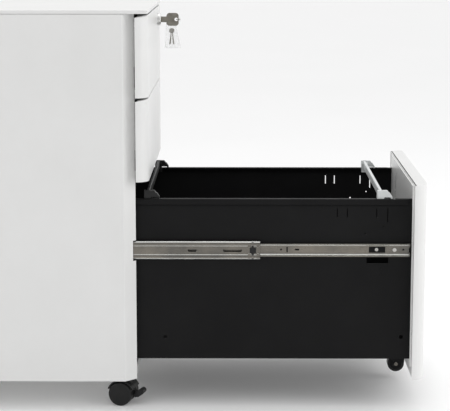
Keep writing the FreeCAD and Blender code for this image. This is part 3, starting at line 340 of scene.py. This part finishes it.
def rolled_member(name, outline, y0, y1, centre_z, slots, web_x):
    """Member of one rolled section with its windows cut out, on the +X side only, as a bmesh. Millimetres."""
    work = bmesh.new()
    add_prism(work, outline, lambda a, b, t: (a / 1000, t / 1000, (centre_z + b) / 1000), y0, y1)
    mesh = bpy.data.meshes.new(name + "_blank")
    work.to_mesh(mesh)
    work.free()
    blank = bpy.data.objects.new(name + "_blank", mesh)
    bpy.context.scene.collection.objects.link(blank)
    work = bmesh.new()
    for a, b, low, high, radius in slots:
        add_prism(work, slot_outline(a, b, centre_z + low, centre_z + high, radius),
                  lambda y, z, t: (t / 1000, y / 1000, z / 1000), web_x - 4.0, web_x + 4.0)
    mesh = bpy.data.meshes.new(name + "_slots")
    work.to_mesh(mesh)
    work.free()
    cutter = bpy.data.objects.new(name + "_slots", mesh)
    bpy.context.scene.collection.objects.link(cutter)
    carve = blank.modifiers.new("carve", "BOOLEAN")
    carve.operation = "DIFFERENCE"
    carve.solver = "EXACT"
    carve.object = cutter
    seen = blank.evaluated_get(bpy.context.evaluated_depsgraph_get())
    work = bmesh.new()
    work.from_mesh(bpy.data.meshes.new_from_object(seen))
    bpy.data.objects.remove(blank)
    bpy.data.objects.remove(cutter)
    return work


def arc(cx, cz, rx, rz, start, end, steps=9):
    """Points of an elliptical arc, in degrees."""
    turns = [math.radians(start + (end - start) * k / steps) for k in range(steps + 1)]
    return [(cx + rx * math.cos(t), cz + rz * math.sin(t)) for t in turns]


def span(node):
    """Front and rear Y, outer X, half height and middle Z of a CAD node, in millimetres."""
    low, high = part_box(node)
    return low.y * 1000, high.y * 1000, high.x * 1000, (high.z - low.z) * 500, (high.z + low.z) * 500


def mirrored(points):
    """The same outline points below the middle line, in reverse order."""
    return [(x, -z) for x, z in points][::-1]


def side_place(centre_z):
    """Maps (y, z, x) in millimetres to a point, with z counted from a slide's middle line."""
    return lambda y, z, x: (x / 1000, y / 1000, (centre_z + z) / 1000)


def mid_outline(face, half):
    """Section with a round raceway along each edge and a shallow groove between them."""
    crown = (half + GROOVE_HALF) / 2
    outer = [(MID_FLANGE_X, half)]
    outer += arc(face - 2.6, crown, 2.6, half - crown, 90, 0)
    outer += arc(face - 1.2, crown, 1.2, crown - GROOVE_HALF, 0, -90)[1:]
    inner = [(MID_FLANGE_X, half - MID_METAL), (face - 3.0, half - MID_METAL), (face - 1.3, crown + 1.0),
             (face - 1.3, crown - 1.4), (face - 2.3, 5.4)]
    return outer + mirrored(outer) + [(x, -z) for x, z in inner] + inner[::-1]


def file_mid_slide():
    """Telescoping member: rolled channel with slots, a pressed tongue, end lugs and a black buffer."""
    y0, y1, face, half, centre_z = span("file_mid_slides")
    slots = [(y0 + a, y0 + b, -tall, tall, radius) for a, b, tall, radius in MID_SLOTS]
    work = rolled_member("file_mid", mid_outline(face, half), y0, y1, centre_z, slots, face - 1.7)
    place = side_place(centre_z)
    add_prism(work, slot_outline(y0 + 108.5, y0 + 127.5, -3.4, 3.4, 0.8), place, face - 1.25, face - 0.5)
    both_hands("file_mid_slides_rolled", work, "file_mid_slides", "zinc_steel", "file_mid_slides")
    lugs = bmesh.new()
    for side in (-1, 1):
        for a, b in ((0.4, 5.2), (13.6, 18.2)):
            low, high = sorted((side * 4.6, side * (half - 1.6)))
            add_prism(lugs, slot_outline(y0 + a, y0 + b, low, high, 1.1), place, face - 1.3, face - 0.15)
    bmesh.ops.bevel(lugs, geom=lugs.edges[:], offset=CLIP_BEVEL, segments=1, affect="EDGES")
    both_hands("file_mid_slides_lugs", lugs, "file_mid_slides", "zinc_steel")
    buffer = bmesh.new()
    bar = slot_outline(y0 + 9.3, y0 + 12.6, -half + 1.0, half - 1.0, 0.7)
    add_prism(buffer, bar, place, face - 1.3, face - 0.3)
    pad = slot_outline(y0 + 5.8, y0 + 15.4, -4.4, 4.4, 1.4)
    add_prism(buffer, pad, place, face - 1.3, face - 0.45)
    bmesh.ops.bevel(buffer, geom=buffer.edges[:], offset=CLIP_BEVEL, segments=1, affect="EDGES")
    both_hands("file_mid_slides_buffer", buffer, "file_mid_slides", "black_nylon")


def inner_outline(edge, half):
    """Channel open outwards, with a hollow curve where each flange leaves the web."""
    flange = half - 1.0
    outer = [(edge, half), (edge, flange)]
    outer += arc(INNER_WEB_X + HOLLOW, flange - HOLLOW, HOLLOW, HOLLOW, 90, 180, 7)
    back = [(INNER_WEB_X - INNER_METAL, half - 2.4), (INNER_WEB_X + 1.3, half)]
    return outer + mirrored(outer) + mirrored(back) + back


def file_inner_slide():
    """Member fixed to the drawer: window with a pressed frame, small slots and holes, end lugs."""
    y0, y1, edge, half, centre_z = span("file_inner_slides")
    web = INNER_WEB_X
    slots = [(y0 + a, y0 + b, -tall, tall, radius) for a, b, tall, radius in INNER_SLOTS]
    work = rolled_member("file_inner", inner_outline(edge, half), y0 + LUG_METAL - 0.1, y1, centre_z, slots,
                         web - 0.5)
    place = side_place(centre_z)
    for a, b, low, high, rise in INNER_PRESSINGS:
        add_prism(work, slot_outline(y0 + a, y0 + b, low, high, 0.54), place, web - 0.2, web + rise)
    for side in (-1, 1):
        low, high = sorted((side * (half - 5.4), side * half))
        add_prism(work, slot_outline(y0, y0 + LUG_METAL, low, high, 0.4), place, web - INNER_METAL, web + 4.2)
    both_hands("file_inner_slides_rolled", work, "file_drawer", "zinc_steel", "file_inner_slides")


def drawer_lips():
    """Folded-out hem along the top of each side of the file drawer's box."""
    low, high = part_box("file_drawer_box")
    y0 = low.y * 1000 + 6.5
    y1 = high.y * 1000 - 8.0
    face = BOX_SIDE_X
    top = high.z * 1000
    work = bmesh.new()
    outline = [(face - 0.4, top - 8.4), (face + 1.2, top - 8.6), (face + 2.1, top - 8.0)]
    outline.append((face + 2.3, top - 7.0))
    outline += arc(face + 0.1, top - 2.2, 1.2, 2.1, 5, 90, 6)
    outline.append((face - 0.4, top - 0.1))
    add_prism(work, outline, lambda a, b, t: (a / 1000, t / 1000, b / 1000), y0, y1)
    ends = [e for e in work.edges if abs(e.verts[0].co.y - e.verts[1].co.y) < 1e-6]
    bmesh.ops.bevel(work, geom=ends, offset=0.0005, segments=2, affect="EDGES", clamp_overlap=True)
    both_hands("file_drawer_box_lips", work, "file_drawer", "black_paint")


file_mid_slide()
file_inner_slide()
drawer_lips()


# ---------------------------------------------------------------- key tag

def tube(name, points, radius, body, slot_name, *nodes, closed=False):
    """Round wire through a few points, in metres."""
    curve = bpy.data.curves.new(name, "CURVE")
    curve.dimensions = "3D"
    curve.bevel_depth = radius
    curve.bevel_resolution = 4
    curve.resolution_u = 10
    spline = curve.splines.new("NURBS")
    spline.points.add(len(points) - 1)
    for point, place in zip(spline.points, points):
        point.co = (*place, 1)
    spline.order_u = 3
    spline.use_endpoint_u = not closed
    spline.use_cyclic_u = closed
    curve.materials.append(MATERIALS[slot_name])
    shown = bpy.data.objects.new(name + "_line", curve)
    bpy.context.scene.collection.objects.link(shown)
    seen = shown.evaluated_get(bpy.context.evaluated_depsgraph_get())
    work = bmesh.new()
    work.from_mesh(bpy.data.meshes.new_from_object(seen))
    bpy.data.objects.remove(shown)
    return finish_piece(name, work, body, slot_name, *nodes, crease=60)


def pouch():
    """Clear vinyl sleeve: two thin bulged sheets, a welded rim and the folded mouth at the bottom."""
    low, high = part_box("key_pouch")
    mid_x = (low.x + high.x) / 2
    top = high.z - 0.0088
    base = low.z
    near = high.y
    far = low.y
    rows = 12
    columns = 8
    sheet = bmesh.new()
    for side in (-1, 1):
        grid = []
        for r in range(rows + 1):
            v = r / rows
            z = top + (base + 0.0007 - top) * v
            left = near - 0.0035 + 0.0028 * v - 0.0012 * math.sin(math.pi * v)
            right = far + 0.0075 * (1 - v) ** 1.3 + 0.0008 * math.sin(5.0 * v)
            row = []
            for c in range(columns + 1):
                u = c / columns
                belly = 0.25 + 0.75 * math.sin(math.pi * min(1.0, v * 0.92 + 0.04))
                swell = math.sin(math.pi * u) ** 0.7 * belly
                crease = 0.00022 * math.sin(19 * u + 7 * v) * math.sin(11 * v + 3 * u)
                x = mid_x + side * (0.0001 + 0.0012 * swell) + crease * swell
                row.append(sheet.verts.new((x, left + (right - left) * u, z)))
            grid.append(row)
        for r in range(rows):
            for c in range(columns):
                face = [grid[r][c], grid[r][c + 1], grid[r + 1][c + 1], grid[r + 1][c]]
                sheet.faces.new(face if side > 0 else face[::-1])
    mid_y = (near + far) / 2
    rim = [(mid_x, y, z) for y, z in (
        (near - 0.0035, top), (near - 0.0034, top - 0.012), (near - 0.0007, base + 0.0009),
        (mid_y, base + 0.0016), (far + 0.0008, base + 0.0009), (far + 0.0048, top - 0.014),
        (far + 0.0075, top), (mid_y - 0.001, top + 0.0004))]
    finish_piece("key_pouch_sheets", sheet, "pouch", "clear_film", "key_pouch")
    tube("key_pouch_rim", rim, 0.00034, "pouch", "clear_film", closed=True)
    for k, (lift, drop) in enumerate(((0.0036, 0.0022), (0.0064, 0.0078))):
        fold = [(mid_x, near - 0.0020, base + lift), (mid_x + 0.0006, mid_y, base + lift + 0.0012),
                (mid_x, far + 0.0024, base + drop)]
        tube("key_pouch_fold_%d" % k, fold, 0.00022, "pouch", "clear_film")
    loop = [(mid_x + x, far + 0.0006, high.z - 0.0038 + z) for x, z in arc(0, 0, 0.0037, 0.0037, 0, 315, 7)]
    tube("key_pouch_loop", loop, 0.00036, "pouch", "chrome_lock", closed=True)


def spare_key():
    """Second key in the sleeve: round bow, two wire-thin edges spreading to the tip."""
    low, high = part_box("spare_key")
    mid_x = (low.x + high.x) / 2
    mid_y = (low.y + high.y) / 2
    work = bmesh.new()
    bow = slot_outline(mid_y - 0.0042, mid_y + 0.0042, high.z - 0.0080, high.z, 0.0038, 8)
    add_prism(work, bow, lambda y, z, t: (t, y, z), mid_x - 0.0008, mid_x + 0.0008)
    for lean in (-1, 1):
        leg = [(mid_y + lean * 0.0002, high.z - 0.0070), (mid_y + lean * 0.0016, high.z - 0.0072),
               (mid_y + lean * 0.0043, low.z + 0.0012), (mid_y + lean * 0.0030, low.z + 0.0002),
               (mid_y + lean * 0.0018, low.z + 0.0016)]
        outline = leg if lean > 0 else leg[::-1]
        add_prism(work, outline, lambda y, z, t: (t, y, z), mid_x - 0.0007, mid_x + 0.0007)
    bmesh.ops.bevel(work, geom=work.edges[:], offset=0.00018, segments=1, affect="EDGES", clamp_overlap=True)
    finish_piece("spare_key_finished", work, BODY_OF["spare_key"], "nickel_key", "spare_key")


pouch()
spare_key()


# ---------------------------------------------------------------- stage, light and camera

WORLD_POWER = 0.94
FLOOR_GLOW = 0.09
CAMERA_PLACE = (-2.5341, -0.3815, 0.7070)
CAMERA_YAW = 0.477           # degrees
CAMERA_PITCH = 9.517
CAMERA_LENS = 129.033


def floor():
    """Pale floor with a faint glow, so that shadows on it stay light."""
    mesh = bpy.data.meshes.new("floor")
    mesh.from_pydata([(-30, -30, 0), (30, -30, 0), (30, 30, 0), (-30, 30, 0)], [], [(0, 1, 2, 3)])
    plane = bpy.data.objects.new("floor", mesh)
    bpy.context.scene.collection.objects.link(plane)
    pale = finish_surface("pale_floor", (0.90, 0.90, 0.90), (0.92, 0.92, 0.92), (0.75, 0.85),
                          40, 0.02, patch=1.5, specular=0.2)
    glow = pale.node_tree.nodes["Principled BSDF"]
    glow.inputs["Emission Color"].default_value = (1.0, 1.0, 1.0, 1)
    glow.inputs["Emission Strength"].default_value = FLOOR_GLOW
    mesh.materials.append(pale)


def panel_light(name, place, target, width, height, power):
    """Rectangular lamp aimed at a point."""
    light = bpy.data.lights.new(name, "AREA")
    light.shape = "RECTANGLE"
    light.size = width
    light.size_y = height
    light.energy = power
    lamp = bpy.data.objects.new(name, light)
    lamp.location = place
    lamp.rotation_euler = (Vector(target) - Vector(place)).to_track_quat("-Z", "Y").to_euler()
    bpy.context.scene.collection.objects.link(lamp)


def studio():
    """Soft white room: even overhead, dimmer low on the side the object is seen from."""
    world = bpy.data.worlds.new("studio")
    world.use_nodes = True
    tree = world.node_tree
    backdrop = tree.nodes["Background"]
    place = tree.nodes.new("ShaderNodeTexCoord")
    axes = tree.nodes.new("ShaderNodeSeparateXYZ")
    tree.links.new(place.outputs["Generated"], axes.inputs["Vector"])
    height = ramp(tree, axes.outputs["Z"], 0.0, 1.0, -0.05, 0.75)
    away = ramp(tree, axes.outputs["X"], 0.0, 1.0, -0.75, 0.15)
    wide = tree.nodes.new("ShaderNodeMath")
    wide.operation = "MAXIMUM"
    tree.links.new(height, wide.inputs[0])
    tree.links.new(away, wide.inputs[1])
    tree.links.new(tint(tree, wide.outputs[0], (0.34, 0.34, 0.35), (1.0, 1.0, 1.0), 0.0, 1.0),
                   backdrop.inputs["Color"])
    backdrop.inputs["Strength"].default_value = WORLD_POWER
    bpy.context.scene.world = world
    panel_light("overhead", (0.2, -0.4, 2.6), (0, -0.3, 0.3), 2.4, 2.4, 11.0)
    panel_light("front", (-0.8, -3.0, 1.3), (0, -0.2, 0.35), 2.0, 2.0, 22.0)
    panel_light("side", (-2.8, 1.6, 1.5), (0, -0.2, 0.3), 1.6, 1.6, 6.0)


def photo_camera():
    """Camera off the cabinet's left side, a little above its top, looking slightly down."""
    yaw = math.radians(CAMERA_YAW)
    pitch = math.radians(CAMERA_PITCH)
    forward = Vector((math.cos(yaw) * math.cos(pitch), math.sin(yaw) * math.cos(pitch), -math.sin(pitch)))
    right = Vector((math.sin(yaw), -math.cos(yaw), 0))
    up = right.cross(forward)
    data = bpy.data.cameras.new("camera")
    data.sensor_width = 36.0
    data.sensor_fit = "HORIZONTAL"
    data.lens = CAMERA_LENS
    data.clip_end = 200.0
    camera = bpy.data.objects.new("camera", data)
    camera.matrix_world = Matrix.Translation(CAMERA_PLACE) @ Matrix(
        (right, up, -forward)).transposed().to_4x4()
    bpy.context.scene.collection.objects.link(camera)
    bpy.context.scene.camera = camera


floor()
studio()
photo_camera()
bpy.context.scene.view_settings.view_transform = "Standard"
